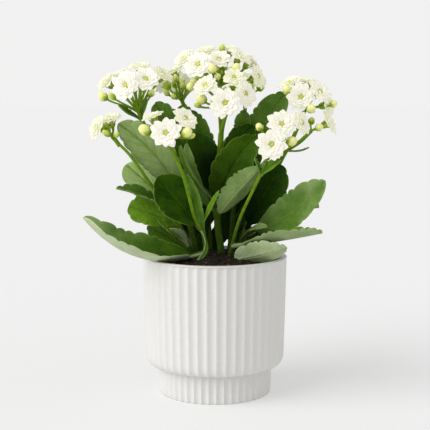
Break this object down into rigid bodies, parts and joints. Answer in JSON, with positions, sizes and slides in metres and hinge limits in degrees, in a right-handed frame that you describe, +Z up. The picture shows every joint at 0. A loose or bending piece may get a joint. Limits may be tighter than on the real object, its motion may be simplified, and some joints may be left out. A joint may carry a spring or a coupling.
{
  "type": "potted kalanchoe",
  "caption": "Bushy double-flowered white kalanchoe with fleshy scalloped leaves, growing in soil in a fluted white ceramic pot with a stepped foot.",
  "frame": {"origin": "middle of the pot's flat underside, where it rests", "axes": "+Z up; -Y is the front of the plant, +X its right side as seen from the front"},
  "size_m": [0.2067, 0.1443, 0.293],
  "materials": {
    "glaze": "satin white glaze",
    "soil": "moist crumbly peat",
    "green": "waxy leaf green",
    "petal": "soft white petal"
  },
  "bodies": {
    "root": {"pot": "glaze", "soil": "soil", "stem_centre": "green", "stem_left": "green", "stem_left_low": "green", "stem_front_left": "green", "stem_front_right": "green", "stem_right": "green", "stem_back_left": "green", "stem_back_right": "green", "bloom_top_1": "petal", "bloom_top_2": "petal", "bloom_top_3": "petal", "bloom_top_4": "petal", "bloom_top_5": "petal", "bloom_top_6": "petal", "bloom_top_7": "petal", "bloom_top_8": "petal", "bloom_middle_1": "petal", "bloom_middle_2": "petal", "bloom_middle_3": "petal", "bloom_middle_4": "petal", "bloom_left_upper_1": "petal", "bloom_left_upper_2": "petal", "bloom_left_upper_3": "petal", "bloom_left_upper_4": "petal", "bloom_left_upper_5": "petal", "bloom_left_upper_6": "petal", "bloom_left_lower_1": "petal", "bloom_left_lower_2": "petal", "bloom_front_left_1": "petal", "bloom_front_left_2": "petal", "bloom_front_left_3": "petal", "bloom_front_right_1": "petal", "bloom_front_right_2": "petal", "bloom_front_right_3": "petal", "bloom_right_upper_1": "petal", "bloom_right_upper_2": "petal", "bloom_right_upper_3": "petal", "bloom_right_upper_4": "petal", "bloom_right_upper_5": "petal", "bloom_right_lower_1": "petal", "bloom_back_left_1": "petal", "bloom_back_left_2": "petal", "bloom_back_left_3": "petal", "bloom_back_left_4": "petal", "bloom_back_right_1": "petal", "bloom_back_right_2": "petal", "bloom_back_right_3": "petal"}
  },
  "joints": []
}
